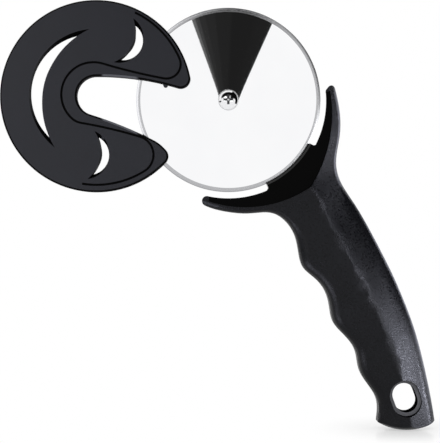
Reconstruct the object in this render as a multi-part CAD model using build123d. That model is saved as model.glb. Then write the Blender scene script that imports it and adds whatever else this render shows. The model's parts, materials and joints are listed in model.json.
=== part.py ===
"""Pizza cutter wheel: a wheel on a one-sided arm, a horned two-shell handle and a C-shaped sheath.

Everything is drawn lying on its back: X to the right, Y up the photograph, Z towards the viewer,
with the wheel's centre at the origin. The last step stands the whole tool upright.
"""
from build123d import *
from math import asin, cos, degrees, radians, sin
import os

# Wheel
blade_d = 90.0
blade_t = 1.0
bevel_w = 2.0
edge_land = 0.2
bore_clearance = 0.04

# Axle
barrel_d = 6.0
screw_d = 4.0
screw_fit = 0.05
screw_reach = 5.0
screw_head_d = 10.0
screw_head_rim = 0.6
screw_head_h = 2.4
screw_dome_d = 9.0
screw_dome_flats = 4
recess_span = 4.7
recess_arm = 1.2
recess_depth = 1.3
nut_head_d = 11.0
nut_head_h = 2.2
nut_edge_chamfer = 0.8
driver_slot_w = 1.4
driver_slot_depth = 1.0
washer_d = 9.6
washer_t = 0.6
washer_clearance = 0.05
axial_play = 0.05

# Head of the handle: web, jaw and arm
axis_angle = -47.0
guard_gap = 3.1
jaw_cover = 0.1
jaw_half_angle = 18.6
jaw_root = 6.0
jaw_shoulder_round = 1.6
jaw_chamfer = 0.8
web_half_t = 4.0
slot_half_t = 0.9
slot_bottom_gap = 1.3
arm_back = 6.5
arm_boss_r = 8.0
arm_root_half_w = 13.0
arm_root_reach = 1.9
arm_edge_round = 1.2
arm_recess_wall = 3.0
arm_recess_depth = 1.6
arm_recess_from = 13.0
tongue_half_t = 1.5
tongue_reach = 0.9
seat_gap = 0.05

# Outline of the glossy pocket, as shares of the guard's inner radius at angles from the head's axis
pocket_tip_angles = (51.5, -54.0)
pocket_mid_angles = (23.0, -27.0)
pocket_tip_shares = (1.030, 1.050)
pocket_mid_shares = (1.108, 1.126)
pocket_corner_share = 1.214

# Horn tips
tip_angles = (52.0, -54.9)
tip_rounds = (2.3, 2.4)
tip_sweep = 25.0

# Grip
grip_length = 124.0
grip_width = 35.0
grip_half_t = 11.0
bend_from = 45.0
bend_r = 235.0
end_arc_r = 27.0
end_arc_angle = -88.0
end_arc_side = 4.2
end_half_t = 10.4
end_round = 6.5

# Stations of the head, before the grip starts: distance from the hub, finger side width and palm
# side width as shares of the guard's inner radius, then depth at the crease as a share of the
# grip's, and the height of the finger side and palm side edge as shares of that depth
head_shares = (
    (0.545, 0.937, 0.930, 0.72, 0.62, 0.60),
    (0.645, 0.896, 0.876, 0.73, 0.62, 0.60),
    (0.748, 0.838, 0.818, 0.74, 0.63, 0.60),
    (0.852, 0.761, 0.750, 0.75, 0.64, 0.60),
    (0.956, 0.669, 0.663, 0.76, 0.66, 0.60),
    (1.040, 0.580, 0.563, 0.77, 0.69, 0.60),
    (1.123, 0.486, 0.449, 0.79, 0.72, 0.60),
    (1.206, 0.430, 0.362, 0.80, 0.75, 0.60),
)
grip_from_share = 1.33
# Stations of the grip: place along it, then finger side and palm side width as shares of the
# grip's width, then depth and edge heights as above
grip_shares = (
    (0.000, 0.549, 0.406, 0.81, 0.78, 0.60),
    (0.080, 0.574, 0.369, 0.83, 0.81, 0.60),
    (0.145, 0.663, 0.360, 0.86, 0.83, 0.60),
    (0.210, 0.720, 0.346, 0.91, 0.84, 0.60),
    (0.274, 0.660, 0.334, 0.95, 0.84, 0.60),
    (0.339, 0.620, 0.326, 0.98, 0.84, 0.60),
    (0.403, 0.649, 0.323, 1.00, 0.84, 0.60),
    (0.484, 0.706, 0.317, 1.00, 0.84, 0.60),
    (0.556, 0.634, 0.314, 0.98, 0.84, 0.60),
    (0.637, 0.566, 0.309, 0.96, 0.84, 0.60),
    (0.718, 0.594, 0.297, 0.93, 0.84, 0.60),
    (0.790, 0.534, 0.286, 0.90, 0.84, 0.60),
    (0.855, 0.466, 0.280, 0.86, 0.84, 0.60),
    (0.920, 0.491, 0.277, 0.82, 0.84, 0.60),
    (0.968, 0.529, 0.275, 0.79, 0.84, 0.60),
    (1.040, 0.535, 0.270, 0.77, 0.84, 0.60),
)
# Width of the rounded edge outside each facet, at the head and along the grip
finger_edge_ws = (2.0, 3.2)
palm_edge_ws = (2.0, 3.8)
# The two flats that roll each edge over: height of the upright wall as a share of the edge's, then
# where the flats meet, inwards as a share of the edge's width and up as a share of what is left
finger_flat_shares = (0.60, 0.36, 0.61)
palm_flat_shares = (0.09, 0.35, 0.57)
crease_side = -3.0
# How far along the grip the crease and the edges take to reach their full sizes
settle_share = 0.1

# Tang, hanging hole and dowels
tang_half_t = 2.6
tang_half_w = 6.0
tang_side = -3.0
hang_share = 0.872
hang_side = -3.0
hang_tilt = 8.0
hang_long = 18.0
hang_short = 14.6
hang_ledge = 1.75
hang_ledge_half_t = 4.2
eyelet_wall = 3.6
dowel_d = 4.0
dowel_half_l = 6.0
dowel_fit = 0.05
dowel_shares = (0.16, 0.66)

# Sheath
sheath_r = 46.8
sheath_offset = 64.4
sheath_bearing = 178.5
sheath_open_angle = -17.0
sheath_gap = 0.4
sheath_plate_t = 2.2
sheath_edge_chamfer = 0.9
sheath_wall_t = 1.5
sheath_closed_from = 85.0
horn_rounds = (4.8, 4.4)
groove_w = 1.1
groove_depth = 1.0
groove_corner_rounds = (7.0, 9.2)
groove_stop_angle = 82.0
nub_r = 1.1
nub_at_shares = (0.655, 0.322)
crescent_draft = 0.5
crescent_tip_draft = 2.2

# The sheath's own plan opens to the right, and all of its outline is in shares of its radius.
# The notch: an arc round its closed end by three points, then one tangent arc to each further point
notch_end_shares = ((0.000, -0.200), (-0.203, 0.000), (-0.060, 0.198))
notch_upper_shares = ((1.100, 0.315),)
notch_lower_shares = ((0.700, -0.262), (1.020, -0.520))
# The border band round the notch, as far as the groove: its closed end, upper and lower edge
border_end_shares = ((-0.108, -0.318), (-0.363, 0.000), (-0.030, 0.343))
border_upper_shares = ((-0.030, 0.343), (0.540, 0.372), (1.100, 0.455))
border_lower_shares = ((-0.108, -0.318), (0.330, -0.277), (1.100, -0.300))
border_round = 9.0
groove_circle_share = 0.94
groove_centre_share = 0.0175
groove_inner_share = 0.8
# Shorter edges than this are left out where the groove's outline is drawn again
tiny_edge = 0.01
# Each crescent: first tip, middle of its outer arc, second tip, middle of its inner arc
crescent_shares = (
    ((-0.268, 0.644), (-0.688, -0.096), (-0.250, -0.638), (-0.530, -0.169)),
    ((0.135, 0.884), (0.306, 0.695), (0.075, 0.390), (0.207, 0.672)),
    ((0.092, -0.353), (0.313, -0.535), (0.167, -0.853), (0.222, -0.563)),
)

# How far a cutter runs past what it cuts
overrun = 1.0

# Worked out from the sizes above
blade_r = blade_d / 2
guard_r = blade_r + guard_gap
slot_r = blade_r + slot_bottom_gap
arm_root_at = guard_r + arm_root_reach
arm_front = blade_t / 2 + axial_play + washer_t
head_seat = -(blade_t / 2 + axial_play + washer_t + axial_play)
sheath_inner = blade_t / 2 + sheath_gap
sheath_face = sheath_inner + sheath_plate_t
grip_from = grip_from_share * guard_r
hang_travel = grip_from + hang_share * grip_length


def polar(radius, angle):
    """A point at a radius and angle in degrees about the hub."""
    return (radius * cos(radians(angle)), radius * sin(radians(angle)))


def spine_heading(travel):
    """Heading in degrees of the handle's spine at a distance from the hub."""
    bend = max(travel - bend_from, 0) / bend_r
    return axis_angle - degrees(bend)


def spine_point(travel, side=0, height=0):
    """A point beside the spine: side is positive towards the palm, height towards the viewer."""
    heading = radians(spine_heading(travel))
    start = radians(axis_angle)
    straight = min(travel, bend_from)
    x = straight * cos(start) + bend_r * (sin(start) - sin(heading))
    y = straight * sin(start) + bend_r * (cos(heading) - cos(start))
    return Vector(x - side * sin(heading), y + side * cos(heading), height)


def slab(plan, low, high):
    """A plan raised into a solid between two heights."""
    return extrude(Pos(0, 0, low) * plan, amount=high - low, dir=(0, 0, 1))


def disc(radius, low, high):
    """A round about the hub between two heights."""
    return Pos(0, 0, (low + high) / 2) * Cylinder(radius, high - low)


def pie(radius, first, last):
    """A pie slice about the hub from one angle to another."""
    arc = CenterArc((0, 0), radius, first, last - first)
    return make_face([Line((0, 0), arc @ 0), arc, Line(arc @ 1, (0, 0))])


def blade():
    """Round wheel, ground to a thin land from both sides, with its bore."""
    half, land = blade_t / 2, edge_land / 2
    bore = barrel_d / 2 + bore_clearance
    flat = blade_r - bevel_w
    outline = Polyline(
        (bore, -half), (flat, -half), (blade_r, -land), (blade_r, land), (flat, half), (bore, half),
        close=True,
    )
    return revolve(Plane.XZ * make_face(outline), Axis.Z)


def domed_head():
    """Thin flange under a dome that is turned in short flats along a ball's arc, on height 0."""
    dome_r, rise = screw_dome_d / 2, screw_head_h - screw_head_rim
    ball_r = (dome_r**2 + rise**2) / (2 * rise)
    angles = [asin(dome_r / ball_r) * step / screw_dome_flats for step in range(screw_dome_flats + 1)]
    dome = [(ball_r * sin(angle), screw_head_h - ball_r + ball_r * cos(angle)) for angle in angles]
    flange_r = screw_head_d / 2
    outline = Polyline(*dome, (flange_r, screw_head_rim), (flange_r, 0), (0, 0), close=True)
    return revolve(Plane.XZ * make_face(outline), Axis.Z)


def axle_screw():
    """Domed screw with a cross recess, its shank inside the barrel."""
    cross = Rectangle(recess_span, recess_arm) + Rectangle(recess_arm, recess_span)
    top = screw_head_h + overrun
    head = domed_head() - slab(cross, screw_head_h - recess_depth, top)
    shank = disc(screw_d / 2, -screw_reach, 0)
    return Pos(0, 0, -head_seat) * (head + shank)


def barrel_nut():
    """Rear head and the plain barrel that the wheel turns on."""
    barrel = disc(barrel_d / 2, -arm_back, -head_seat)
    head = disc(nut_head_d / 2, -arm_back - nut_head_h, -arm_back)
    head = chamfer(head.edges().group_by(Axis.Z)[0], nut_edge_chamfer)
    slot = Rectangle(nut_head_d + overrun, driver_slot_w)
    low = -arm_back - nut_head_h
    head -= slab(slot, low - overrun, low + driver_slot_depth)
    hole = disc(screw_d / 2 + screw_fit, -head_seat - screw_reach - overrun, -head_seat + overrun)
    return barrel + head - hole


def washer(low):
    """Thin ring on the barrel."""
    return disc(washer_d / 2, low, low + washer_t) - disc(
        barrel_d / 2 + washer_clearance, low - overrun, low + washer_t + overrun
    )


def pocket_plan(grow):
    """Plan of the glossy pocket between the horns, out to its V boundary."""
    tips = [polar(guard_r * share + grow, axis_angle + angle)
            for share, angle in zip(pocket_tip_shares, pocket_tip_angles)]
    mids = [polar(guard_r * share + grow, axis_angle + angle)
            for share, angle in zip(pocket_mid_shares, pocket_mid_angles)]
    corner = polar(guard_r * pocket_corner_share + grow, axis_angle)
    return make_face([
        Line((0, 0), tips[0]),
        ThreePointArc(tips[0], mids[0], corner),
        ThreePointArc(corner, mids[1], tips[1]),
        Line(tips[1], (0, 0)),
    ])


def web_plan(grow):
    """Plan of the web: the pocket outside the guard's inner arc, with the jaw reaching inwards."""
    jaw_r = blade_r - jaw_cover
    jaw = pie(guard_r + jaw_root, axis_angle - jaw_half_angle, axis_angle + jaw_half_angle) - Circle(jaw_r)
    plan = pocket_plan(grow) - Circle(guard_r) + jaw
    for way in (-1, 1):
        shoulder = Vector(*polar(guard_r, axis_angle + way * jaw_half_angle))
        plan = fillet(plan.vertices().sort_by_distance(shoulder)[0], jaw_shoulder_round)
    return plan


def arm_plan(inset):
    """Plan of the tapered arm from the boss to the web."""
    boss_r = arm_boss_r - inset
    side = arm_root_half_w - inset
    boss = Circle(boss_r)
    corners = ((0, boss_r), (0, -boss_r), (arm_root_at, -side), (arm_root_at, side))
    taper = make_face(Polyline(*corners, close=True))
    return Rot(0, 0, axis_angle) * (boss + taper)


def rear_arm():
    """One-sided arm behind the wheel, with a shallow recess in its back."""
    arm = slab(arm_plan(0), -arm_back, -arm_front)
    arm = chamfer(arm.faces().sort_by(Axis.Z)[0].edges(), arm_edge_round)
    panel = arm_plan(arm_recess_wall) - Rot(0, 0, axis_angle) * Circle(arm_recess_from)
    reach = arm_root_at - arm_recess_wall
    panel &= Rot(0, 0, axis_angle) * Pos(reach / 2, 0) * Rectangle(reach, arm_root_at)
    return arm - slab(panel, -arm_back - overrun, -arm_back + arm_recess_depth)


def tang_plan(grow):
    """Plan of the tang from the web to the hanging eyelet."""
    start = pocket_corner_share * guard_r - jaw_root
    finish = hang_travel
    middle = (start + finish) / 2
    low, high = tang_side - tang_half_w - grow, tang_side + tang_half_w + grow
    near = [spine_point(place, low) for place in (start, middle, finish)]
    far = [spine_point(place, high) for place in (start, middle, finish)]
    return make_face([
        ThreePointArc(*near), Line(near[2], far[2]), ThreePointArc(*reversed(far)), Line(far[0], near[0])
    ])


def hang_slot(grow):
    """Plan of the hanging hole in the shells, wider by grow all round."""
    centre = spine_point(hang_travel, hang_side)
    tilt = spine_heading(hang_travel) + hang_tilt
    slot = SlotOverall(hang_long + 2 * grow, hang_short + 2 * grow)
    return Pos(centre.X, centre.Y) * Rot(0, 0, tilt) * slot


def hidden_core(grow):
    """What of the core lies inside the shells: tongue, tang and eyelet."""
    tongue = pocket_plan(tongue_reach + grow) - Circle(guard_r)
    body = slab(tongue, -tongue_half_t - grow, tongue_half_t + grow)
    inner = tang_plan(grow) + hang_slot(eyelet_wall - hang_ledge + grow)
    return body + slab(inner, -tang_half_t - grow, tang_half_t + grow)


def dowels(grow):
    """The two dowels across the tang."""
    return [
        Pos(*spine_point(grip_from + share * grip_length, tang_side))
        * Cylinder(dowel_d / 2 + grow, 2 * (dowel_half_l + grow))
        for share in dowel_shares
    ]


def core_frame():
    """Web, jaw, arm, tang and eyelet as one moulding."""
    web = slab(web_plan(-seat_gap), -web_half_t, web_half_t)
    lip = web.edges().filter_by(GeomType.CIRCLE).group_by(Axis.Z)[-1]
    lip = lip.sort_by(lambda edge: edge.radius - blade_r if edge.radius > blade_r / 2 else blade_r)[0]
    web = chamfer(lip, jaw_chamfer)
    core = web + hidden_core(0) + rear_arm()
    core -= disc(slot_r, -slot_half_t, slot_half_t)
    core -= disc(barrel_d / 2 + washer_clearance, -arm_back - overrun, 0)
    core -= slab(hang_slot(-hang_ledge), -web_half_t, web_half_t)
    for pin in dowels(dowel_fit):
        core -= pin
    return core


def edge_corners(width, height, shares):
    """Corners of a rolled edge as distance inwards and height, from its wall to its facet."""
    wall, inwards, upwards = shares
    wall_top = wall * height
    return [(0, wall_top), (inwards * width, wall_top + upwards * (height - wall_top)), (width, height)]


def handle_section(travel, finger, palm, depth, heights, edge_ws, crease):
    """One cross section of the handle: facets that meet in a crease, with edges rolled over by flats."""
    near = edge_corners(edge_ws[0], heights[0] * depth, finger_flat_shares)
    far = edge_corners(edge_ws[1], heights[1] * depth, palm_flat_shares)
    front = [(inwards - finger, height) for inwards, height in near]
    front += [(crease, depth)] + [(palm - inwards, height) for inwards, height in reversed(far)]
    back = [(side, -height) for side, height in reversed(front)]
    outline = [(-finger, 0), *front, (palm, 0), *back]
    return make_face(Polyline(*(spine_point(travel, side, height) for side, height in outline), close=True))


def settled(values, at):
    """A size on its way from its value at the head to its value along the grip."""
    return values[0] + (values[1] - values[0]) * min(at / settle_share, 1)


def handle_form():
    """The handle's outer form: one loft from the horn tips to the end, trimmed to the guard and rounds."""
    sections = [
        handle_section(at * guard_r, finger * guard_r, palm * guard_r, depth * grip_half_t, heights,
                       (finger_edge_ws[0], palm_edge_ws[0]), 0)
        for at, finger, palm, depth, *heights in head_shares
    ]
    sections += [
        handle_section(grip_from + at * grip_length, finger * grip_width, palm * grip_width,
                       depth * grip_half_t, heights,
                       (settled(finger_edge_ws, at), settled(palm_edge_ws, at)),
                       settled((0, crease_side), at))
        for at, finger, palm, depth, *heights in grip_shares
    ]
    form = loft(sections)
    tall = grip_half_t + overrun
    form -= disc(guard_r, -tall, tall)
    for angle, round_r, way in zip(tip_angles, tip_rounds, (1, -1)):
        form -= tip_trim(axis_angle + angle, round_r, way, tall)
    return form - end_trim(tall)


def tip_trim(angle, round_r, way, tall):
    """What is cut away past a horn's tip to leave it round."""
    beyond = angle + way * tip_sweep
    sector = pie(2 * guard_r, min(angle, beyond), max(angle, beyond))
    centre = polar(guard_r + round_r, angle)
    return slab(sector - Pos(*centre) * Circle(round_r), -tall, tall)


def end_trim(tall):
    """What is cut away past the handle's end to leave it crowned and rounded."""
    last = grip_from + grip_length
    heading = Vector(*polar(1, end_arc_angle))
    end = spine_point(last, -end_arc_side)
    centre = end - heading * end_arc_r
    crown = Pos(centre.X, centre.Y) * Cylinder(end_arc_r, 2 * end_half_t)
    crown = fillet(crown.edges(), end_round)
    place = Pos(centre.X, centre.Y) * Rot(0, 0, end_arc_angle)
    block = place * Pos(end_arc_r, 0) * Box(2 * end_arc_r, 4 * end_arc_r, 2 * tall)
    keep_above = place * Box(end_arc_r, 4 * end_arc_r, 4 * tall)
    return block - crown - keep_above


def grip_shells():
    """Front and rear halves of the handle, hollowed for the core and the dowels."""
    form = handle_form()
    tall = grip_half_t + overrun
    form -= slab(pocket_plan(0), -tall, tall)
    form -= hidden_core(seat_gap)
    form -= slab(hang_slot(-hang_ledge), -tall, tall)
    form -= slab(hang_slot(0), hang_ledge_half_t, tall)
    form -= slab(hang_slot(0), -tall, -hang_ledge_half_t)
    for pin in dowels(dowel_fit):
        form -= pin
    wide = 4 * (grip_from + grip_length)
    front = form & slab(Rectangle(wide, wide), 0, tall)
    rear = form & slab(Rectangle(wide, wide), -tall, 0)
    return front, rear


def on_sheath(share):
    """A point of the sheath's own plan from its shares."""
    return Vector(share[0] * sheath_r, share[1] * sheath_r)


def sheath_arc(shares):
    """An arc of the sheath's plan through three points."""
    return ThreePointArc(*(on_sheath(share) for share in shares))


def tangent_run(start, heading, shares):
    """Arcs from a point and heading through further points, each tangent to the one before."""
    run = []
    for share in shares:
        run.append(TangentArc(start, on_sheath(share), tangent=heading))
        start, heading = run[-1] @ 1, run[-1] % 1
    return run


def notch_plan():
    """The notch that lets the sheath slip past the boss and arm."""
    end = sheath_arc(notch_end_shares)
    upper = tangent_run(end @ 1, end % 1, notch_upper_shares)
    lower = tangent_run(end @ 0, -(end % 0), notch_lower_shares)
    return make_face([end, *upper, Line(upper[-1] @ 1, lower[-1] @ 1), *lower])


def border_plan():
    """The notch with the border band round it."""
    end, upper, lower = (
        sheath_arc(shares) for shares in (border_end_shares, border_upper_shares, border_lower_shares)
    )
    border = make_face([end, upper, Line(upper @ 1, lower @ 1), lower])
    return fillet(border.vertices().sort_by_distance(lower @ 0)[0], border_round)


def redrawn(face):
    """A plan drawn again corner by corner with plain arcs and lines, as an offset doesn't leave them."""
    edges = [edge for edge in face.outer_wire().order_edges() if edge.length > tiny_edge]
    corners = [
        min((edge @ 0, edge @ 1), key=lambda spot: min((spot - after @ 0).length, (spot - after @ 1).length))
        for edge, after in zip(edges, edges[1:] + edges[:1])
    ]
    return make_face([
        Line(start, end) if edge.geom_type == GeomType.LINE else ThreePointArc(start, edge @ 0.5, end)
        for edge, start, end in zip(edges, corners[-1:] + corners[:-1], corners)
    ])


def groove_plan():
    """The groove that parts the panel from the border, from rim to rim round both horns."""
    circle = Pos(0, groove_centre_share * sheath_r) * Circle(groove_circle_share * sheath_r)
    panel = circle - border_plan()
    for way, round_r in zip((1, -1), groove_corner_rounds):
        corner = Vector(sheath_r, way * border_upper_shares[1][1] * sheath_r)
        panel = fillet(panel.vertices().sort_by_distance(corner)[0], round_r)
    ring = offset(panel, amount=groove_w / 2) - offset(panel, amount=-groove_w / 2)
    stop = pie(2 * sheath_r, groove_stop_angle, 360 - groove_stop_angle)
    return redrawn((ring - (stop - Circle(groove_inner_share * sheath_r))).face())


def crescent_plan(shares, draft):
    """One crescent between two arcs, drawn in by a share of its draft."""
    first, outer, second, inner = (on_sheath(share) for share in shares)
    along = (second - first).normalized() * crescent_tip_draft * draft
    across = (inner - outer).normalized() * crescent_draft * draft
    first, second, outer, inner = first + along, second - along, outer + across, inner - across
    return make_face([ThreePointArc(first, outer, second), ThreePointArc(second, inner, first)])


def crescent_cutter(shares):
    """One crescent slot, drafted so that it is narrower inside than at the face."""
    run = overrun / sheath_plate_t
    low, high = sheath_inner - overrun, sheath_face + overrun
    inner, outer = crescent_plan(shares, 1 + run), crescent_plan(shares, -run)
    return loft([Pos(0, 0, low) * inner, Pos(0, 0, high) * outer])


def sheath_shell():
    """One plate of the sheath, on the viewer's side, in the sheath's own plan."""
    plate = slab(Circle(sheath_r) - notch_plan(), sheath_inner, sheath_face)
    for way, round_r in zip((1, -1), horn_rounds):
        horn = Vector(sheath_r, way * sheath_r * nub_at_shares[1], sheath_inner)
        plate = fillet(plate.edges().filter_by(Axis.Z).sort_by_distance(horn)[0], round_r)
    wall = pie(sheath_r, sheath_closed_from, 360 - sheath_closed_from) - Circle(sheath_r - sheath_wall_t)
    plate += slab(wall, 0, sheath_inner)
    rim = plate.faces().sort_by(Axis.Z)[-1].outer_wire().edges()
    plate = chamfer(rim, sheath_edge_chamfer)
    nub = disc(nub_r, sheath_inner, sheath_face - sheath_edge_chamfer)
    plate += Pos(on_sheath(nub_at_shares)) * nub
    plate -= slab(groove_plan(), sheath_face - groove_depth, sheath_face + overrun)
    for shares in crescent_shares:
        plate -= crescent_cutter(shares)
    return plate


def sheath():
    """Both plates of the sheath, the rear one a mirror of the front, where the photograph has them."""
    front = sheath_shell()
    place = Pos(*polar(sheath_offset, sheath_bearing)) * Rot(0, 0, sheath_open_angle)
    return place * front, place * mirror(front, Plane.XY)


def build():
    """Every node by name, lying on its back about the hub."""
    front, rear = grip_shells()
    sheath_front, sheath_rear = sheath()
    return {
        "core_frame": core_frame(),
        "grip_front_shell": front,
        "grip_rear_shell": rear,
        "grip_dowels": Compound(children=dowels(0)),
        "axle_screw": axle_screw(),
        "barrel_nut": barrel_nut(),
        "blade_washer_front": washer(blade_t / 2 + axial_play),
        "blade_washer_rear": washer(-arm_front),
        "blade": blade(),
        "sheath_front_shell": sheath_front,
        "sheath_rear_shell": sheath_rear,
    }


def stand_up(nodes):
    """The nodes upright, with the middle of the whole tool's foot at the origin."""
    upright = {name: Rot(90, 0, 0) * node for name, node in nodes.items()}
    boxes = [node.bounding_box() for node in upright.values()]
    low = [min(getattr(box.min, axis) for box in boxes) for axis in "XYZ"]
    high = [max(getattr(box.max, axis) for box in boxes) for axis in "XYZ"]
    foot = Pos(-(low[0] + high[0]) / 2, -(low[1] + high[1]) / 2, -low[2])
    print("hub at", tuple(foot.position))
    print("size", [high[axis] - low[axis] for axis in range(3)])
    for label, spot in (("hanging hole", spine_point(hang_travel, hang_side)),
                        ("sheath centre", Vector(*polar(sheath_offset, sheath_bearing)))):
        print(label, tuple((foot * Rot(90, 0, 0) * Pos(spot)).position))
    return {name: foot * node for name, node in upright.items()}


os.makedirs("parts", exist_ok=True)
for name, node in stand_up(build()).items():
    export_step(node, f"parts/{name}.step")
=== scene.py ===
"""Looks of the pizza cutter wheel: its finishes, the floor, the light and the camera.

Lengths are in metres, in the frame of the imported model: +X to the right, +Y away from the viewer
along the wheel's axis and +Z up, with the foot of the handle standing on height 0.
"""
import json
import logging
import math
from collections.abc import Mapping, Sequence
from dataclasses import dataclass
from enum import Enum
from functools import reduce
from typing import Any

import bpy
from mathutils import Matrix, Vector


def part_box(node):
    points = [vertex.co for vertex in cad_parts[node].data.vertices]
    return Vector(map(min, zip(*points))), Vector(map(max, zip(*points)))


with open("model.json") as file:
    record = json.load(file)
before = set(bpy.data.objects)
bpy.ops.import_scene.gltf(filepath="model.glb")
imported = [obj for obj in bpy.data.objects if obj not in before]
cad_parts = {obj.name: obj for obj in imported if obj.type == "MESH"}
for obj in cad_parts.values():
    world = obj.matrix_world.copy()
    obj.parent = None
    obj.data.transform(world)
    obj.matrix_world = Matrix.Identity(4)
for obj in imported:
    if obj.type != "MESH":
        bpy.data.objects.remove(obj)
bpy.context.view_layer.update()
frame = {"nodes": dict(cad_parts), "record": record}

Number = float | int
Point = tuple[float, float, float]
Quad = tuple[Point, Point, Point, Point]
Colour = tuple[float, float, float, float]
# An angle round a point and how far the near and the far edge lean there, in degrees
Tilt = tuple[float, float, float]
# Pairs of a place and the value there, in rising order of places
Table = tuple[tuple[float, float], ...]

MM = 0.001
# Points of a mesh this close count as one when its shading is rounded
WELD_REACH = 0.002 * MM
# The smallest angle, in degrees, between faces whose edge stays sharp
SHARP_ANGLE = 31.0
# The sockets of a Mix node that hold colours
MIX_FIRST, MIX_SECOND, MIX_RESULT = 6, 7, 2
# How much of a colour's blue tint is taken off its red
RED_SHARE = 1 / 8
# The attribute that holds a card's shade
SHADE = "shade"
log = logging.getLogger("pizza_cutter")


class Axis(Enum):
    """One of the three directions of the shared frame, as the nodes name them."""

    X = "X"
    Y = "Y"
    Z = "Z"


class Rays(Enum):
    """Kinds of rays, as a Light Path node names them."""

    CAMERA = "Camera"
    DIFFUSE = "Diffuse"
    GLOSSY = "Glossy"
    TRANSMISSION = "Transmission"


def grey(level: float, tint: float = 0.0) -> Colour:
    """A neutral colour, a little bluer where tint is above 0.

    Args:
        level: Linear brightness.
        tint: Share by which blue exceeds green.

    Returns:
        The colour with full alpha.
    """
    return (level * (1 - tint * RED_SHARE), level, level * (1 + tint), 1.0)


WHITE = grey(1.0)
# The bluish light that the plastics' facets mirror
GLOW = grey(1.0, 0.18)
# The one piece that the grip's strips light
GRIP = ("grip_front_shell",)


class Signal:
    """One output socket of a node graph, which + - * combine into Math nodes."""

    def __init__(self, graph: "NodeGraph", socket: bpy.types.NodeSocket) -> None:
        """Wraps a socket.

        Args:
            graph: The graph that the socket is in.
            socket: The output socket.
        """
        self.graph = graph
        self.socket = socket

    def math(self, operation: str, first: "Signal | Number", second: "Signal | Number") -> "Signal":
        """A Math node on two values.

        Args:
            operation: The Math node's operation.
            first: Its first value.
            second: Its second value.

        Returns:
            The node's output.
        """
        return self.graph.node("ShaderNodeMath", {"operation": operation}, {0: first, 1: second})

    def __add__(self, other: "Signal | Number") -> "Signal":
        """This value plus another."""
        return self.math("ADD", self, other)

    def __radd__(self, other: Number) -> "Signal":
        """A number plus this value."""
        return self.math("ADD", other, self)

    def __sub__(self, other: "Signal | Number") -> "Signal":
        """This value less another."""
        return self.math("SUBTRACT", self, other)

    def __rsub__(self, other: Number) -> "Signal":
        """A number less this value."""
        return self.math("SUBTRACT", other, self)

    def __mul__(self, other: "Signal | Number") -> "Signal":
        """This value times another."""
        return self.math("MULTIPLY", self, other)

    def __rmul__(self, other: Number) -> "Signal":
        """A number times this value."""
        return self.math("MULTIPLY", other, self)

    def size(self) -> "Signal":
        """This value without its sign."""
        return self.math("ABSOLUTE", self, 0.0)

    def larger(self, other: "Signal | Number") -> "Signal":
        """The larger of this value and another."""
        return self.math("MAXIMUM", self, other)

    def band(self, low: float, high: float, blur: float) -> "Signal":
        """1 between two values and 0 outside them.

        Args:
            low: Where the band starts.
            high: Where it ends.
            blur: Width of its soft edges.

        Returns:
            The band's value, from 0 to 1.
        """
        return self.ramp(low - blur, low) * (1 - self.ramp(high, high + blur))

    def ramp(self, low: float, high: float) -> "Signal":
        """A smooth step from 0 at one value to 1 at another.

        Args:
            low: Where the step starts.
            high: Where it ends.

        Returns:
            The step's value, from 0 to 1.
        """
        settings = {"interpolation_type": "SMOOTHSTEP"}
        inputs = {"Value": self, "From Min": low, "From Max": high}
        return self.graph.node("ShaderNodeMapRange", settings, inputs)


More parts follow.
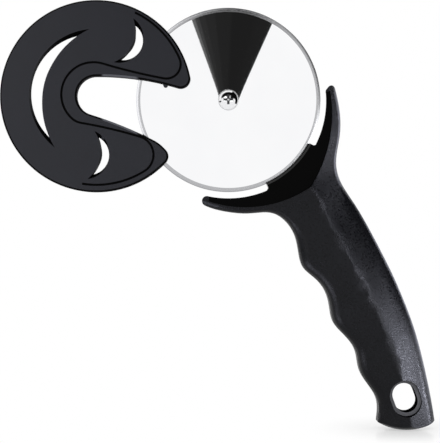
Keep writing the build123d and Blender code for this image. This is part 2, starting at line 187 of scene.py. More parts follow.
class NodeGraph:
    """The node tree of one material or world."""

    def __init__(self, owner: bpy.types.Material | bpy.types.World) -> None:
        """Clears the owner's tree and keeps it.

        Args:
            owner: The material or world that the nodes belong to.
        """
        owner.use_nodes = True
        self.tree = owner.node_tree
        self.tree.nodes.clear()

    def node(
        self,
        kind: str,
        settings: Mapping[str, Any] | None = None,
        inputs: Mapping[str | int, Any] | None = None,
        output: str | int = 0,
    ) -> Signal:
        """Adds a node.

        Args:
            kind: The node's type.
            settings: Its properties, which are set before its sockets.
            inputs: A value or a link for each named or numbered socket.
            output: The output socket to give back.

        Returns:
            That output socket.
        """
        made = self.tree.nodes.new(kind)
        for name, value in (settings or {}).items():
            setattr(made, name, value)
        for name, value in (inputs or {}).items():
            if isinstance(value, Signal):
                self.tree.links.new(value.socket, made.inputs[name])
            else:
                made.inputs[name].default_value = value
        return Signal(self, made.outputs[output])

    def mix_colour(self, factor: Signal, first: Colour | Signal, second: Colour | Signal) -> Signal:
        """A blend of two colours.

        Args:
            factor: 0 for the first, 1 for the second.
            first: The first colour.
            second: The second colour.

        Returns:
            The blended colour.
        """
        inputs = {0: factor, MIX_FIRST: first, MIX_SECOND: second}
        return self.node("ShaderNodeMix", {"data_type": "RGBA"}, inputs, output=MIX_RESULT)

    def mix_shader(self, factor: Signal, first: Signal, second: Signal) -> Signal:
        """A blend of two shaders.

        Args:
            factor: 0 for the first, 1 for the second.
            first: The first shader.
            second: The second shader.

        Returns:
            The blended shader.
        """
        return self.node("ShaderNodeMixShader", inputs={0: factor, 1: first, 2: second})

    def vector_math(self, operation: str, *vectors: Signal | Point, output: str = "Vector") -> Signal:
        """A Vector Math node.

        Args:
            operation: The node's operation.
            *vectors: Its vectors.
            output: Vector, or Value for an operation that gives a number.

        Returns:
            The node's output.
        """
        inputs = dict(enumerate(vectors))
        return self.node("ShaderNodeVectorMath", {"operation": operation}, inputs, output)

    def seen_by(self, *kinds: Rays) -> Signal:
        """1 for rays of any of these kinds and 0 for the rest."""
        found = [self.node("ShaderNodeLightPath", output=f"Is {kind.value} Ray") for kind in kinds]
        return reduce(Signal.larger, found)

    def place(self) -> Signal:
        """The point on the object's own surface, which stays with it as it moves."""
        return self.node("ShaderNodeTexCoord", output="Object")

    def part_of(self, vector: Signal, axis: Axis) -> Signal:
        """A vector's value along one axis."""
        return self.node("ShaderNodeSeparateXYZ", inputs={"Vector": vector}, output=axis.value)

    def along(self, axis: Axis) -> Signal:
        """How far the point on the surface lies along one of the object's axes."""
        return self.part_of(self.place(), axis)

    def facing(self, axis: Axis) -> Signal:
        """How squarely the surface faces along one of the object's axes, either way."""
        normal = self.node("ShaderNodeTexCoord", output="Normal")
        return self.part_of(normal, axis).size()

    def from_point(self, spot: Point) -> Signal:
        """Distance from a point."""
        offset = self.vector_math("SUBTRACT", self.place(), spot)
        return self.vector_math("LENGTH", offset, output="Value")

    def from_axis(self, spot: Point) -> Signal:
        """Distance from a line along Y through a point.

        Args:
            spot: The point.

        Returns:
            The distance.
        """
        offset = self.vector_math("SUBTRACT", self.place(), spot)
        flat = self.vector_math("MULTIPLY", offset, (1.0, 0.0, 1.0))
        return self.vector_math("LENGTH", flat, output="Value")

    def noise(self, size: float, detail: float = 2.0, where: Signal | None = None) -> Signal:
        """Soft noise over the surface, from 0 to 1.

        Args:
            size: Size of its largest spots in metres.
            detail: How many finer layers it has.
            where: The point it is read at, or None for the object's own.

        Returns:
            The noise value.
        """
        inputs = {"Vector": where or self.place(), "Scale": 1 / size, "Detail": detail}
        return self.node("ShaderNodeTexNoise", inputs=inputs)

    def grain(self, size: float) -> Signal:
        """Small rounded cells, as spark erosion leaves in a mould.

        Args:
            size: Distance between cells in metres.

        Returns:
            Distance to the nearest cell's middle.
        """
        inputs = {"Vector": self.place(), "Scale": 1 / size}
        return self.node("ShaderNodeTexVoronoi", {"feature": "F1"}, inputs, output="Distance")

    def bump(self, height: Signal, depth: float) -> Signal:
        """A normal raised by a height.

        Args:
            height: Height from 0 to 1.
            depth: What a height of 1 stands for, in metres.

        Returns:
            The bumped normal.
        """
        return self.node("ShaderNodeBump", inputs={"Height": height, "Distance": depth})

    def glow(self, colour: Colour, strength: Signal | float) -> Signal:
        """A shader that only gives light."""
        return self.node("ShaderNodeEmission", inputs={"Color": colour, "Strength": strength})

    def coat(self, **inputs: Signal | Colour | Number) -> Signal:
        """A Principled shader.

        Args:
            **inputs: Its sockets by name, with _ for a space.

        Returns:
            The shader.
        """
        named = {name.replace("_", " "): value for name, value in inputs.items()}
        return self.node("ShaderNodeBsdfPrincipled", inputs=named)

    def output(self, shader: Signal, kind: str = "ShaderNodeOutputMaterial") -> None:
        """Links a shader to the output.

        Args:
            shader: The shader's socket.
            kind: The output node's type.
        """
        end = self.tree.nodes.new(kind)
        self.tree.links.new(shader.socket, end.inputs["Surface"])


@dataclass(frozen=True)
class Finish:
    """A finish that a piece is dressed in."""

    name: str

    def graph(self) -> tuple[bpy.types.Material, NodeGraph]:
        """A new material of this name and its empty graph."""
        material = bpy.data.materials.new(self.name)
        return material, NodeGraph(material)

    def material(self) -> bpy.types.Material:
        """The finished material."""
        raise NotImplementedError


@dataclass(frozen=True)
class WheelSteel(Finish):
    """Mirror-polished sheet steel with a ground bevel round its rim."""

    hub: Point
    bevel_from: float
    rim: float
    blur: float = 0.10 * MM
    painted_rim_shade_width: float = 0.40 * MM
    face: Colour = grey(0.968, 0.003)
    cloud: Colour = grey(0.91, 0.02)
    bevel: Colour = grey(0.47, 0.03)
    # A darker band painted at the rim as shade
    painted_rim_shade: Colour = grey(0.34, 0.04)
    face_roughness: float = 0.010
    bevel_roughness: float = 0.16
    haze: float = 0.005
    haze_size: float = 26 * MM
    ring_pitch: float = 0.35 * MM
    ring_layers: float = 3.0
    ring_spread: float = 0.05
    ring_depth: float = 0.002 * MM

    def material(self) -> bpy.types.Material:
        """Polish inside the bevel line, grinding rings outside it and a darker band painted at the rim as
        shade.

        Returns:
            The material.
        """
        material, graph = self.graph()
        radius = graph.from_axis(self.hub)
        painted_rim_shade_from = self.rim - self.painted_rim_shade_width
        edge = radius.ramp(self.bevel_from - self.blur, self.bevel_from + self.blur)
        # Painted shade: the outermost band of the bevel is drawn darker
        painted_rim_shade = radius.ramp(painted_rim_shade_from - self.blur, painted_rim_shade_from + self.blur)
        ring_place = graph.node("ShaderNodeCombineXYZ", inputs={"X": radius})
        rings = graph.noise(self.ring_pitch, self.ring_layers, ring_place)
        clouds = graph.noise(self.haze_size)
        polished = self.face_roughness + clouds * self.haze
        ground = self.bevel_roughness + rings * self.ring_spread
        face = graph.mix_colour(clouds, self.face, self.cloud)
        graph.output(graph.coat(
            Base_Color=graph.mix_colour(painted_rim_shade, graph.mix_colour(edge, face, self.bevel), self.painted_rim_shade),
            Metallic=1.0,
            Roughness=polished * (1 - edge) + ground * edge,
            Normal=graph.bump(rings * edge, self.ring_depth),
        ))
        return material


@dataclass(frozen=True)
class FastenerSteel(Finish):
    """Bright tumbled steel of the screw and the barrel nut."""

    colour: Colour = grey(0.90, 0.01)
    dull: Colour = grey(0.80, 0.02)
    roughness: float = 0.06
    spread: float = 0.05
    mark_size: float = 0.9 * MM
    mark_layers: float = 4.0
    mark_depth: float = 0.004 * MM

    def tone(self, graph: NodeGraph, marks: Signal) -> Signal:
        """The steel's colour, a little duller where it is marked."""
        return graph.mix_colour(marks, self.colour, self.dull)

    def material(self) -> bpy.types.Material:
        """Polish with small tumbling marks.

        Returns:
            The material.
        """
        material, graph = self.graph()
        marks = graph.noise(self.mark_size, self.mark_layers)
        graph.output(graph.coat(
            Base_Color=self.tone(graph, marks),
            Metallic=1.0,
            Roughness=self.roughness + marks * self.spread,
            Normal=graph.bump(marks, self.mark_depth),
        ))
        return material


@dataclass(frozen=True)
class ScrewSteel(FastenerSteel):
    """The screw's steel, with the shade that gathers in the arms of its cross recess."""

    hub: Point = (0.0, 0.0, 0.0)
    recess_top: float = 0.0
    recess_reach: float = 2.5 * MM
    bright_middle: float = 0.55 * MM
    blur: float = 0.15 * MM
    recess: Colour = grey(0.10, 0.05)

    def tone(self, graph: NodeGraph, marks: Signal) -> Signal:
        """Bright steel, darker down in the recess's arms.

        Args:
            graph: The material's nodes.
            marks: How marked the steel is, from 0 to 1.

        Returns:
            The colour.
        """
        radius = graph.from_axis(self.hub)
        depth = graph.along(Axis.Y).ramp(self.recess_top - self.blur, self.recess_top)
        arms = radius.band(self.bright_middle, self.recess_reach, self.blur) * depth
        return graph.mix_colour(arms, super().tone(graph, marks), self.recess)


@dataclass(frozen=True)
class MouldedPlastic(Finish):
    """Black moulded plastic: its mould's grain, its gloss and its slow change of tone."""

    dark: Colour
    light: Colour
    roughness: float
    roughness_spread: float
    grain_size: float
    grain_depth: float
    shade_size: float
    reflection: float
    speckle: float = 0.0
    grain_layers: float = 3.0
    tone_share: float = 0.6
    noise_middle: float = 0.5

    def moulded(self, graph: NodeGraph, share: float = 1.0) -> Signal:
        """Grain from the mould over a slowly changing tone.

        Args:
            graph: The material's nodes.
            share: Share of the finish's reflection.

        Returns:
            The shader.
        """
        tone = graph.noise(self.shade_size)
        cells = graph.grain(self.grain_size)
        fine = graph.noise(self.grain_size, self.grain_layers)
        fine_part = fine * (1 - self.tone_share)
        slow = (tone - self.noise_middle) * self.roughness_spread
        return graph.coat(
            Base_Color=graph.mix_colour(tone * self.tone_share + fine_part, self.dark, self.light),
            Roughness=self.roughness + slow + (fine - self.noise_middle) * self.speckle,
            Specular_IOR_Level=self.reflection * share,
            Normal=graph.bump(cells * self.tone_share + fine_part, self.grain_depth),
        )

    def material(self) -> bpy.types.Material:
        """The moulded plastic all over.

        Returns:
            The material.
        """
        material, graph = self.graph()
        graph.output(self.moulded(graph))
        return material


@dataclass(frozen=True)
class SheathPlastic(MouldedPlastic):
    """The sheath's satin plastic, with smooth walls and groove painted dark as shade, and a painted
    highlight on the notch's chamfers.
    """

    # The groove's floor, by its depth in the plates
    groove_from: float = 2.0 * MM
    groove_to: float = 2.14 * MM
    blur: float = 0.03 * MM
    # Painted shade: the colour that the walls and the groove are drawn in
    painted_wall_shade: Colour = grey(0.002)
    wall_roughness: float = 0.5
    wall_reflection: float = 0.03
    wall_facing: tuple[float, float] = (0.72, 0.88)
    # The notch's chamfers that get a painted highlight, by how they face, how high they lie and how far
    # along
    lip_facing: tuple[float, float] = (0.50, 0.90)
    lip_slant: tuple[float, float] = (0.30, 0.50)
    facing_blur: float = 0.03
    lip_level: tuple[float, float] = (139 * MM, 176 * MM)
    lip_span: tuple[float, float] = (-55 * MM, -40 * MM)
    lip_blur: float = 2 * MM
    # Painted highlight on the notch's chamfers
    painted_lip_highlight: Colour = grey(0.085, 0.2)
    lip_reflection: float = 0.5

    def painted_lip_highlights(self, graph: NodeGraph) -> Signal:
        """The notch's two long chamfers, which are painted lighter than the rest of the outline as a
        highlight.

        Args:
            graph: The material's nodes.

        Returns:
            1 on the chamfers and 0 elsewhere.
        """
        level = graph.along(Axis.Z).band(*self.lip_level, self.lip_blur)
        span = graph.along(Axis.X).band(*self.lip_span, self.lip_blur)
        sloping = graph.facing(Axis.Y).band(*self.lip_facing, self.facing_blur)
        return level * span * sloping * graph.facing(Axis.Z).ramp(*self.lip_slant)

    def material(self) -> bpy.types.Material:
        """Satin faces, walls and groove painted dark as shade, and a painted highlight on the notch's
        chamfers.

        Returns:
            The material.
        """
        material, graph = self.graph()
        depth = graph.along(Axis.Y).size()
        groove = depth.band(self.groove_from, self.groove_to, self.blur)
        # Painted shade: the walls and the groove get a near-black, dull coat
        wall = 1 - graph.facing(Axis.Y).ramp(*self.wall_facing)
        dark = graph.coat(
            Base_Color=self.painted_wall_shade,
            Roughness=self.wall_roughness,
            Specular_IOR_Level=self.wall_reflection,
        )
        # Painted highlight: a lighter coat on the notch's chamfers
        light = graph.coat(
            Base_Color=self.painted_lip_highlight, Roughness=self.roughness, Specular_IOR_Level=self.lip_reflection
        )
        body = graph.mix_shader(wall.larger(groove), self.moulded(graph), dark)
        graph.output(graph.mix_shader(self.painted_lip_highlights(graph), body, light))
        return material


@dataclass(frozen=True)
class HandlePlastic(MouldedPlastic):
    """The handle's mouldings, with the walls in the guard and the hanging hole painted black as shade.

    Both finishes of the handle share these walls, so the places are the same for both.
    """

    hub: Point = (0.0, 0.0, 0.0)
    guard_radius: float = 0.0
    hole: Point = (0.0, 0.0, 0.0)
    hole_reach: float = 9.3 * MM
    guard_reach: float = 0.4 * MM
    wall_facing: tuple[float, float] = (0.25, 0.45)
    # Painted shade of the guard's and the hole's walls
    painted_wall_shade: Colour = grey(0.0008)
    wall_roughness: float = 0.6
    rim_facing: tuple[float, float] = (0.10, 0.45)
    rim_share: float = 0.0
    rim_reflection: float = 0.12
    blur: float = 0.1 * MM

    def painted_highlight(self, graph: NodeGraph) -> tuple[Signal, Colour]:
        """Where a narrow painted highlight lies on the moulding, and its colour."""
        raise NotImplementedError

    def material(self) -> bpy.types.Material:
        """The moulded plastic with its painted highlight and its walls painted black as shade.

        Returns:
            The material.
        """
        material, graph = self.graph()
        mask, colour = self.painted_highlight(graph)
        # Painted highlight: a lighter, smoother coat where the mask lies
        light = graph.coat(
            Base_Color=colour, Roughness=self.roughness, Specular_IOR_Level=self.reflection
        )
        body = graph.mix_shader(mask, self.moulded(graph), light)
        if self.rim_share:
            rim = (1 - graph.facing(Axis.Y).ramp(*self.rim_facing)) * self.rim_share
            body = graph.mix_shader(rim, body, self.moulded(graph, self.rim_reflection))
        # Painted shade on the walls of the guard and the hanging hole
        guard = graph.from_axis(self.hub).band(
            self.guard_radius - self.guard_reach, self.guard_radius + self.guard_reach, self.blur
        )
        hole = 1 - graph.from_axis(self.hole).ramp(self.hole_reach, self.hole_reach + self.blur)
        wall = (1 - graph.facing(Axis.Y).ramp(*self.wall_facing)) * guard.larger(hole)
        dark = graph.coat(
            Base_Color=self.painted_wall_shade, Roughness=self.wall_roughness, Specular_IOR_Level=0.0
        )
        graph.output(graph.mix_shader(wall, body, dark))
        return material


@dataclass(frozen=True)
class CorePlastic(HandlePlastic):
    """The core's deep gloss, with a light line painted as a highlight along the jaw's chamfer by the
    wheel.
    """

    line_from: float = 0.0
    line_to: float = 0.0
    front: float = -3.2 * MM
    # Painted highlight along the jaw's chamfer
    line: Colour = grey(0.030)

    def painted_highlight(self, graph: NodeGraph) -> tuple[Signal, Colour]:
        """The painted highlight on the jaw's chamfer at the front, and its colour.

        Args:
            graph: The material's nodes.

        Returns:
            The chamfer's mask and its colour.
        """
        at_front = graph.along(Axis.Y).ramp(self.front + self.blur, self.front)
        along_wheel = graph.from_axis(self.hub).band(self.line_from, self.line_to, self.blur)
        return along_wheel * at_front, self.line


@dataclass(frozen=True)
class GripPlastic(HandlePlastic):
    """The shells' eroded black, with a smoother ledge inside the hanging hole that is painted lighter as
    a highlight.
    """

    ledge_at: tuple[float, float] = (4.1 * MM, 4.3 * MM)
    # Painted highlight on the ledge in the hanging hole
    ledge: Colour = grey(0.14, 0.10)
    squarely: tuple[float, float] = (0.90, 0.97)

    def painted_highlight(self, graph: NodeGraph) -> tuple[Signal, Colour]:
        """The ledge inside the hanging hole, and the lighter colour painted there as a highlight.

        Args:
            graph: The material's nodes.

        Returns:
            The ledge's mask and its colour.
        """
        depth = graph.along(Axis.Y).size()
        near = 1 - graph.from_axis(self.hole).ramp(self.hole_reach, self.hole_reach + self.blur)
        square = graph.facing(Axis.Y).ramp(*self.squarely)
        return depth.band(*self.ledge_at, self.blur) * square * near, self.ledge


SHEATH_FINISH = SheathPlastic(
    name="sheath_satin_black", dark=grey(0.0062, 0.60), light=grey(0.0112, 0.60), roughness=0.36,
    roughness_spread=0.05, grain_size=0.45 * MM, grain_depth=0.020 * MM, shade_size=20 * MM,
    reflection=0.28, speckle=0.2,
)
WASHER_FINISH = MouldedPlastic(
    name="washer_natural_acetal", dark=grey(0.70), light=grey(0.76), roughness=0.40,
    roughness_spread=0.05, grain_size=0.5 * MM, grain_depth=0.004 * MM, shade_size=5 * MM,
    reflection=0.5,
)
DOWEL_FINISH = MouldedPlastic(
    name="dowel_black_nylon", dark=grey(0.012), light=grey(0.018), roughness=0.45,
    roughness_spread=0.05, grain_size=0.5 * MM, grain_depth=0.006 * MM, shade_size=5 * MM,
    reflection=0.4,
)
NUT_FINISH = FastenerSteel(name="axle_bright_steel")


def soften(piece: bpy.types.Object) -> None:
    """Rounds the shading over gentle edges and keeps the sharp ones, by modifiers alone.

    The node's own mesh stays as it is. What is drawn of it moves by less than 0.001 mm, where
    points that all but coincide become one, and the screw loses slivers that are smaller still.

    Args:
        piece: The node's object.
    """
    weld = piece.modifiers.new("weld", "WELD")
    weld.merge_threshold = WELD_REACH
    split = piece.modifiers.new("split", "EDGE_SPLIT")
    split.split_angle = math.radians(SHARP_ANGLE)
    split.use_edge_sharp = False
    weighted = piece.modifiers.new("weighted", "WEIGHTED_NORMAL")
    weighted.mode = "FACE_AREA_WITH_ANGLE"
    weighted.keep_sharp = False


def dress(node: str, finish: Finish) -> None:
    """Gives a CAD node its finish and reports it.

    Args:
        node: The node's name.
        finish: What it is dressed in.
    """
    piece = frame["nodes"][node]
    piece.data.materials.clear()
    piece.data.materials.append(finish.material())
    soften(piece)
    log.info("piece %s: %s", node, finish.name)


@dataclass
class CuttingWheel:
    """The wheel itself."""

    bevel_width: float = 2.0 * MM
    node: str = "blade"

    def hub(self) -> Vector:
        """The wheel's centre."""
        low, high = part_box(self.node)
        return (low + high) / 2

    def radius(self) -> float:
        """The wheel's radius."""
        low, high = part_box(self.node)
        return (high.x - low.x) / 2

    def front(self) -> float:
        """Where the wheel's front face is, along Y."""
        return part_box(self.node)[0].y

    def build(self) -> None:
        """Dresses the wheel."""
        rim = self.radius()
        finish = WheelSteel(
            name="wheel_mirror_steel", hub=tuple(self.hub()), bevel_from=rim - self.bevel_width, rim=rim
        )
        dress(self.node, finish)


@dataclass
class Axle:
    """Screw, barrel nut and the two washers."""

    screw: str = "axle_screw"
    nut: str = "barrel_nut"
    washers: tuple[str, ...] = ("blade_washer_front", "blade_washer_rear")
    recess_shoulder: float = 0.75 * MM

    def build(self, wheel: CuttingWheel) -> None:
        """Dresses the axle's four pieces.

        Args:
            wheel: The wheel that turns on it.
        """
        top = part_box(self.screw)[0].y
        dress(self.screw, ScrewSteel(
            name="screw_bright_steel", hub=tuple(wheel.hub()), recess_top=top + self.recess_shoulder
        ))
        dress(self.nut, NUT_FINISH)
        for node in self.washers:
            dress(node, WASHER_FINISH)


@dataclass
class Handle:
    """Core moulding, the two shells round it and the dowels inside."""

    core: str = "core_frame"
    shells: tuple[str, ...] = ("grip_front_shell", "grip_rear_shell")
    dowels: str = "grip_dowels"
    hole_mount: str = "hang_hole"
    chamfer_inside: float = 0.1 * MM
    chamfer_width: float = 0.8 * MM
    guard_gap: float = 3.1 * MM

    def walls(self, wheel: CuttingWheel) -> dict[str, Any]:
        """Where both finishes have their unlit walls, from the wheel and the record's hanging hole.

        Args:
            wheel: The wheel that the guard goes round.

        Returns:
            Those fields of a handle's finish.
        """
        mounts = {mount["name"]: mount["pos_m"] for mount in frame["record"]["mounts"]}
        return {
            "hub": tuple(wheel.hub()),
            "guard_radius": wheel.radius() + self.guard_gap,
            "hole": tuple(mounts[self.hole_mount]),
        }

    def core_finish(self, wheel: CuttingWheel) -> CorePlastic:
        """The core's finish, with its painted highlight line where the jaw's chamfer meets the wheel.

        Args:
            wheel: The wheel that the jaw wraps.

        Returns:
            The finish.
        """
        inner = wheel.radius() - self.chamfer_inside
        return CorePlastic(
            name="core_gloss_black", dark=grey(0.0004), light=grey(0.0007), roughness=0.14,
            roughness_spread=0.04, grain_size=3.0 * MM, grain_depth=0.004 * MM, shade_size=18 * MM,
            reflection=0.035, line_from=inner, line_to=inner + self.chamfer_width,
            **self.walls(wheel),
        )

    def grip_finish(self, wheel: CuttingWheel) -> GripPlastic:
        """The shells' finish.

        Args:
            wheel: The wheel that the guard goes round.

        Returns:
            The finish.
        """
        return GripPlastic(
            name="grip_eroded_black", dark=grey(0.0018, 0.40), light=grey(0.0046, 0.40), roughness=0.33,
            roughness_spread=0.08, grain_size=0.85 * MM, grain_depth=0.06 * MM, shade_size=14 * MM,
            reflection=0.13, speckle=0.50, rim_share=0.70, **self.walls(wheel),
        )

    def build(self, wheel: CuttingWheel) -> None:
        """Dresses the handle's four nodes.

        Args:
            wheel: The wheel that the handle holds.
        """
        dress(self.core, self.core_finish(wheel))
        for node in self.shells:
            dress(node, self.grip_finish(wheel))
        dress(self.dowels, DOWEL_FINISH)


@dataclass
class Sheath:
    """The two plates of the blade sheath."""

    plates: tuple[str, ...] = ("sheath_front_shell", "sheath_rear_shell")

    def build(self) -> None:
        """Dresses both plates."""
        for node in self.plates:
            dress(node, SHEATH_FINISH)


@dataclass
class Camera:
    """The camera at the photograph's place: level, along +Y, fitted to the wheel's front face."""

    photo_width: int = 440
    photo_height: int = 443
    hub_pixel: tuple[float, float] = (228.3, 100.0)
    wheel_pixels: float = 184.2
    distance: float = 0.640
    # The sensor's width and the lens are in millimetres
    sensor: float = 36.0

    def pixel(self, wheel: CuttingWheel) -> float:
        """Size of one of the photograph's pixels on the wheel's plane."""
        return 2 * wheel.radius() / self.wheel_pixels

    def on_wheel_plane(self, wheel: CuttingWheel, column: float, row: float) -> Vector:
        """The point of the wheel's front face plane under a pixel.

        Args:
            wheel: The wheel.
            column: The pixel's column in the photograph.
            row: The pixel's row.

        Returns:
            The point.
        """
        size = self.pixel(wheel)
        hub = wheel.hub()
        right = (column - self.hub_pixel[0]) * size
        up = (self.hub_pixel[1] - row) * size
        return Vector((hub.x + right, wheel.front(), hub.z + up))

    def place(self, wheel: CuttingWheel) -> Vector:
        """Where the camera stands."""
        middle = self.on_wheel_plane(wheel, self.photo_width / 2, self.photo_height / 2)
        return Vector((middle.x, -self.distance, middle.z))

    def build(self, wheel: CuttingWheel) -> None:
        """Makes the camera and gives it to the scene.

        Args:
            wheel: The wheel that the photograph's frame is fitted to.
        """
        data = bpy.data.cameras.new("camera")
        field_height = self.photo_height * self.pixel(wheel)
        data.sensor_width = self.sensor
        data.lens = self.sensor * self.distance / field_height
        camera = bpy.data.objects.new("camera", data)
        camera.location = self.place(wheel)
        camera.rotation_euler = (math.pi / 2, 0.0, 0.0)
        bpy.context.scene.collection.objects.link(camera)
        bpy.context.scene.camera = camera


def read_off(table: Table, at: float) -> float:
    """A value read off a table, with straight lines between its places.

    Args:
        table: The table.
        at: The place to read.

    Returns:
        The value there.
    """
    for (low, first), (high, second) in zip(table, table[1:]):
        if at <= high:
            return first + (second - first) * max(at - low, 0.0) / (high - low)
    return table[-1][1]


def even(shade: float) -> Table:
    """The table of a card that has one shade all over."""
    return ((0.0, shade), (1.0, shade))


def limit(thing: bpy.types.Object, rays: Rays) -> None:
    """Hides a card or a lamp from the camera, and from diffuse or glossy rays unless they are its own.

    Args:
        thing: The card or the lamp.
        rays: The rays that still meet it.
    """
    thing.visible_camera = False
    thing.visible_glossy = rays is Rays.GLOSSY
    thing.visible_diffuse = rays is Rays.DIFFUSE


@dataclass
class Card:
    """A studio card that only reflections show, for the polished and glossy pieces to mirror."""

    name: str
    columns: Sequence[tuple[Vector, Vector, float]]
    colour: Colour = WHITE

    @classmethod
    def panel(
        cls, name: str, corners: Sequence[Point | Vector], shades: Table, colour: Colour = WHITE,
    ) -> "Card":
        """A card with four corners whose shade changes from left to right.

        Args:
            name: The card's name.
            corners: Bottom left, bottom right, top right, top left.
            shades: The shade at each share of the width.
            colour: The colour that its shades are of.

        Returns:
            The card.
        """
        low_left, low_right, high_right, high_left = (Vector(corner) for corner in corners)
        columns = [(low_left.lerp(low_right, share), high_left.lerp(high_right, share), shade)
                   for share, shade in shades]
        return cls(name, columns, colour)

    @classmethod
    def ring(
        cls, name: str, centre: Vector, inner: float, outer: float, shades: Table, steps: int = 60,
    ) -> "Card":
        """Part of a ring square to the wheel's axis, whose shade changes round it.

        Args:
            name: The card's name.
            centre: The ring's centre.
            inner: Its inner radius.
            outer: Its outer radius.
            shades: The shade at each angle in degrees, anticlockwise from +X.
            steps: How many flats it is made of.

        Returns:
            The card.
        """
        first, last = shades[0][0], shades[-1][0]
        columns = []
        for step in range(steps + 1):
            angle = first + (last - first) * step / steps
            out = Vector((math.cos(math.radians(angle)), 0.0, math.sin(math.radians(angle))))
            columns.append((centre + out * inner, centre + out * outer, read_off(shades, angle)))
        return cls(name, columns)

    @classmethod
    def arc(
        cls, name: str, middle: Vector, reach: float, tilts: Sequence[Tilt], shade: float,
    ) -> "Card":
        """Part of a dome in front of a point, wider in some directions than in others.

        Args:
            name: The card's name.
            middle: The point.
            reach: The dome's radius.
            tilts: Angles anticlockwise from +X, and how far the card's near and far edges lean
                away from the viewer's direction there.
            shade: Its shade.

        Returns:
            The card.
        """
        columns = []
        for angle, near, far in tilts:
            turn = math.radians(angle)
            edges = []
            for tilt in (math.radians(near), math.radians(far)):
                side = math.sin(tilt)
                out = Vector((math.cos(turn) * side, -math.cos(tilt), math.sin(turn) * side))
                edges.append(middle + out * reach)
            columns.append((*edges, shade))
        return cls(name, columns)

    def build(self) -> None:
        """Makes the card as a strip of faces between its columns, with a shade for each column."""
        points = [point for low, high, _ in self.columns for point in (low, high)]
        faces = [(2 * i, 2 * i + 2, 2 * i + 3, 2 * i + 1) for i in range(len(self.columns) - 1)]
        mesh = bpy.data.meshes.new(self.name)
        mesh.from_pydata(points, [], faces)
        shade = mesh.attributes.new(SHADE, "FLOAT", "POINT")
        shade.data.foreach_set("value", [level for _, _, level in self.columns for _ in range(2)])
        mesh.materials.append(self.material())
        card = bpy.data.objects.new(self.name, mesh)
        bpy.context.scene.collection.objects.link(card)
        limit(card, Rays.GLOSSY)
        card.visible_transmission = card.visible_shadow = False
        log.info("stage %s", self.name)

    def material(self) -> bpy.types.Material:
        """A material that glows at the card's own shade.

        Returns:
            The material.
        """
        material = bpy.data.materials.new(self.name)
        graph = NodeGraph(material)
        level = graph.node("ShaderNodeAttribute", {"attribute_name": SHADE}, output="Fac")
        graph.output(graph.glow(self.colour, level))
        return material


@dataclass
class Softbox:
    """A soft rectangular lamp that lights every piece, or that only a few pieces mirror."""

    name: str
    place: Point
    aim: Point
    width: float
    height: float
    radiance: float
    colour: Colour = WHITE
    only: tuple[str, ...] = ()

    def build(self) -> None:
        """Makes the lamp and aims it, at the power that gives its radiance."""
        data = bpy.data.lights.new(self.name, "AREA")
        data.shape = "RECTANGLE"
        data.size, data.size_y = self.width, self.height
        data.color = self.colour[:3]
        data.energy = self.radiance * math.pi * self.width * self.height
        lamp = bpy.data.objects.new(self.name, data)
        lamp.location = self.place
        ahead = Vector(self.aim) - Vector(self.place)
        lamp.rotation_euler = ahead.to_track_quat("-Z", "Y").to_euler()
        limit(lamp, Rays.GLOSSY if self.only else Rays.DIFFUSE)
        bpy.context.scene.collection.objects.link(lamp)
        if self.only:
            lit = bpy.data.collections.new(self.name + "_lit")
            for node in self.only:
                lit.objects.link(frame["nodes"][node])
            lamp.light_linking.receiver_collection = lit
        log.info("lamp %s", self.name)


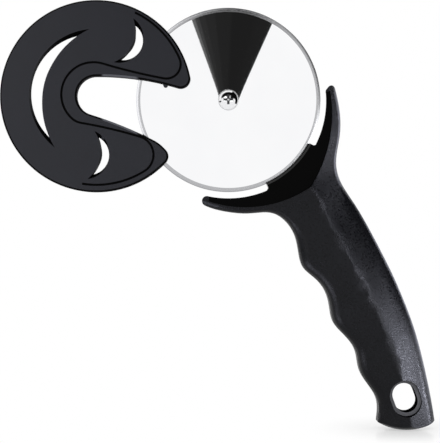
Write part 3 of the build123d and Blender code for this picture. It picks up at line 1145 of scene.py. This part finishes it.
@dataclass
class Studio:
    """Pale floor, white surroundings, soft lamps and the cards."""

    ambient: float = 0.86
    floor_colour: Colour = grey(0.95)
    floor_roughness: float = 0.20
    floor_reflection: float = 0.5
    floor_reach: float = 4.0
    foot_half_width: float = 15 * MM
    # How far from the handle's foot the floor fades to plain white, and how white it is there at least
    white_from: float = 12 * MM
    white_to: float = 50 * MM
    white_least: float = 0.5
    # How far before the frame's origin the cards stand that the wheel's face mirrors
    card_distance: float = 1.0
    # Where the dark wedge lies on the wheel in the photograph: columns and rows of its corners
    wedge_top: tuple[float, float, float] = (190.9, 274.9, 21.2)
    wedge_foot: tuple[float, float, float] = (219.5, 239.3, 100.0)
    # How many times as high as it shows the wedge's card is, so that it runs past the rim
    wedge_rise: float = 6.0
    wedge_shades: Table = (
        (0.0, 0.13), (0.05, 0.052), (0.10, 0.028), (0.18, 0.022), (0.30, 0.017), (0.50, 0.013),
        (0.80, 0.014), (1.0, 0.020),
    )
    # What the wheel's bevel mirrors, by the angle round the wheel
    ring_inner: float = 0.36
    ring_outer: float = 0.74
    ring_shades: Table = (
        (-50.0, 4.5), (-16.0, 4.5), (-10.0, 1.8), (-5.0, 0.7), (2.0, 0.36), (45.0, 0.55), (80.0, 1.55),
        (100.0, 1.55), (118.0, 1.35), (150.0, 2.4), (205.0, 2.4), (210.0, 1.2),
    )
    # What the screw's dome mirrors, from four o'clock over the top to half past nine
    screw_reach: float = 0.40
    screw_tilts: tuple[Tilt, ...] = (
        (-35.0, 70.0, 74.0), (-20.0, 66.0, 84.0), (0.0, 62.0, 86.0), (30.0, 50.0, 86.0),
        (60.0, 40.0, 80.0), (90.0, 35.0, 75.0), (120.0, 37.0, 74.0), (140.0, 46.0, 74.0),
        (155.0, 54.0, 70.0), (165.0, 60.0, 64.0),
    )
    # Two lamps for every piece and four strips for the grip: a name, where it stands, what it is
    # aimed at, its width and height, and its radiance
    softboxes: tuple[Softbox, ...] = (
        Softbox("key_left", (-0.75, -0.95, 0.85), (0.0, 0.0, 0.1), 0.9, 0.9, 1.5),
        Softbox("strip_right", (0.74, -0.62, 0.12), (0.07, 0.0, 0.06), 0.34, 0.24, 2.0),
        Softbox("horn_strip", (0.26, -0.564, 0.122), (0.055, 0.0, 0.140), 0.10, 0.16, 20.0, GLOW, GRIP),
        Softbox("low_strip", (0.805, -0.50, 0.035), (-0.03, 0.05, 0.035), 0.527, 0.07, 76.0, GLOW, GRIP),
        Softbox("guard_strip", (-0.07, -0.10, 0.003), (-0.07, -0.10, 1.0), 0.12, 0.12, 5.0, GLOW, GRIP),
        Softbox("side_strip", (0.95, -0.115, 0.025), (0.0, -0.115, 0.025), 0.33, 0.05, 105.0, GLOW, GRIP),
    )
    # Bright cards behind the cutter and dark ones round it, for its facets to mirror
    strips: tuple[tuple[str, Quad], ...] = (
        ("strip_back", ((0.95, 0.28, 0.0), (0.58, 0.88, 0.0), (0.58, 0.88, 0.4), (0.95, 0.28, 0.4))),
        ("strip_rear", ((-0.58, 0.88, 0.0), (-0.95, 0.28, 0.0), (-0.95, 0.28, 0.4), (-0.58, 0.88, 0.4))),
    )
    flags: tuple[tuple[str, Quad], ...] = (
        ("flag_right", ((0.45, -0.2, 0.1), (0.45, 0.36, 0.1), (0.45, 0.36, 1.1), (0.45, -0.2, 1.1))),
        ("flag_left", ((-0.6, 1.2, 0.01), (-0.6, -0.3, 0.01), (-0.6, -0.3, 0.13), (-0.6, 1.2, 0.13))),
        ("flag_over", ((-0.4, -0.7, 1.1), (0.45, -0.7, 1.1), (0.45, -0.35, 1.1), (-0.4, -0.35, 1.1))),
        ("flag_raised", ((0.4, -1.0, 0.34), (0.95, -0.25, 0.34), (0.95, -0.25, 1.2), (0.4, -1.0, 1.2))),
    )
    strip_shade: float = 3.0
    flag_shade: float = 0.004

    def world(self) -> None:
        """White for what the camera and the reflections see, a plain level for diffuse light."""
        world = bpy.data.worlds.new("studio")
        bpy.context.scene.world = world
        graph = NodeGraph(world)
        seen = graph.seen_by(Rays.CAMERA, Rays.GLOSSY, Rays.TRANSMISSION)
        strength = self.ambient + seen * (1 - self.ambient)
        light = graph.node("ShaderNodeBackground", inputs={"Color": WHITE, "Strength": strength})
        graph.output(light, "ShaderNodeOutputWorld")

    def floor(self) -> None:
        """The pale floor, which fades to plain white away from the handle's foot."""
        material = bpy.data.materials.new("floor_pale")
        graph = NodeGraph(material)
        _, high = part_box("grip_front_shell")
        away = graph.from_point((high.x - self.foot_half_width, 0.0, 0.0))
        fading = away.ramp(self.white_from, self.white_to) * (1 - self.white_least)
        faded = graph.seen_by(Rays.CAMERA) * (self.white_least + fading)
        white = graph.seen_by(Rays.GLOSSY).larger(faded)
        lit = graph.coat(
            Base_Color=self.floor_colour,
            Roughness=self.floor_roughness,
            Specular_IOR_Level=self.floor_reflection,
        )
        graph.output(graph.mix_shader(white, lit, graph.glow(WHITE, 1.0)))
        reach = self.floor_reach
        corners = [(-reach, -reach, 0), (reach, -reach, 0), (reach, reach, 0), (-reach, reach, 0)]
        mesh = bpy.data.meshes.new("floor")
        mesh.from_pydata(corners, [], [(0, 1, 2, 3)])
        mesh.materials.append(material)
        floor = bpy.data.objects.new("floor", mesh)
        bpy.context.scene.collection.objects.link(floor)
        log.info("stage floor")

    def mirrored(self, camera: Camera, wheel: CuttingWheel, column: float, row: float) -> Vector:
        """Where a card has to be for the wheel's face to show it at a pixel of the photograph.

        Args:
            camera: The camera.
            wheel: The wheel.
            column: The pixel's column.
            row: The pixel's row.

        Returns:
            The point on the card's plane, in front of the wheel.
        """
        spot = camera.on_wheel_plane(wheel, column, row)
        out = spot - camera.place(wheel)
        reach = (self.card_distance + spot.y) / out.y
        return Vector((spot.x + reach * out.x, -self.card_distance, spot.z + reach * out.z))

    def wedge(self, camera: Camera, wheel: CuttingWheel) -> Card:
        """The dark card that the polished face shows as a wedge above the hub.

        Args:
            camera: The camera.
            wheel: The wheel.

        Returns:
            The card.
        """
        left, right, row = self.wedge_foot
        far_left, far_right, far_row = (
            foot + (top - foot) * self.wedge_rise for foot, top in zip(self.wedge_foot, self.wedge_top)
        )
        pixels = ((left, row), (right, row), (far_right, far_row), (far_left, far_row))
        corners = [self.mirrored(camera, wheel, *pixel) for pixel in pixels]
        return Card.panel("wedge_card", corners, self.wedge_shades)

    def build(self, camera: Camera, wheel: CuttingWheel) -> None:
        """Makes the surroundings, from the far ones to the cards.

        Args:
            camera: The camera.
            wheel: The wheel.
        """
        self.world()
        self.floor()
        for softbox in self.softboxes:
            softbox.build()
        self.wedge(camera, wheel).build()
        centre = self.mirrored(camera, wheel, *camera.hub_pixel)
        Card.ring("bevel_card", centre, self.ring_inner, self.ring_outer, self.ring_shades).build()
        hub = wheel.hub()
        Card.arc("screw_card", hub, self.screw_reach, self.screw_tilts, self.flag_shade).build()
        for name, corners in self.strips:
            Card.panel(name, corners, even(self.strip_shade), GLOW).build()
        for name, corners in self.flags:
            Card.panel(name, corners, even(self.flag_shade)).build()


def main() -> None:
    """Builds the looks in order, from the wheel outwards, and reports each piece."""
    logging.basicConfig(level=logging.INFO, format="%(message)s")
    bpy.context.scene.view_settings.view_transform = "Standard"
    wheel = CuttingWheel()
    wheel.build()
    Axle().build(wheel)
    Handle().build(wheel)
    Sheath().build()
    camera = Camera()
    camera.build(wheel)
    Studio().build(camera, wheel)


if __name__ == "__main__":
    main()
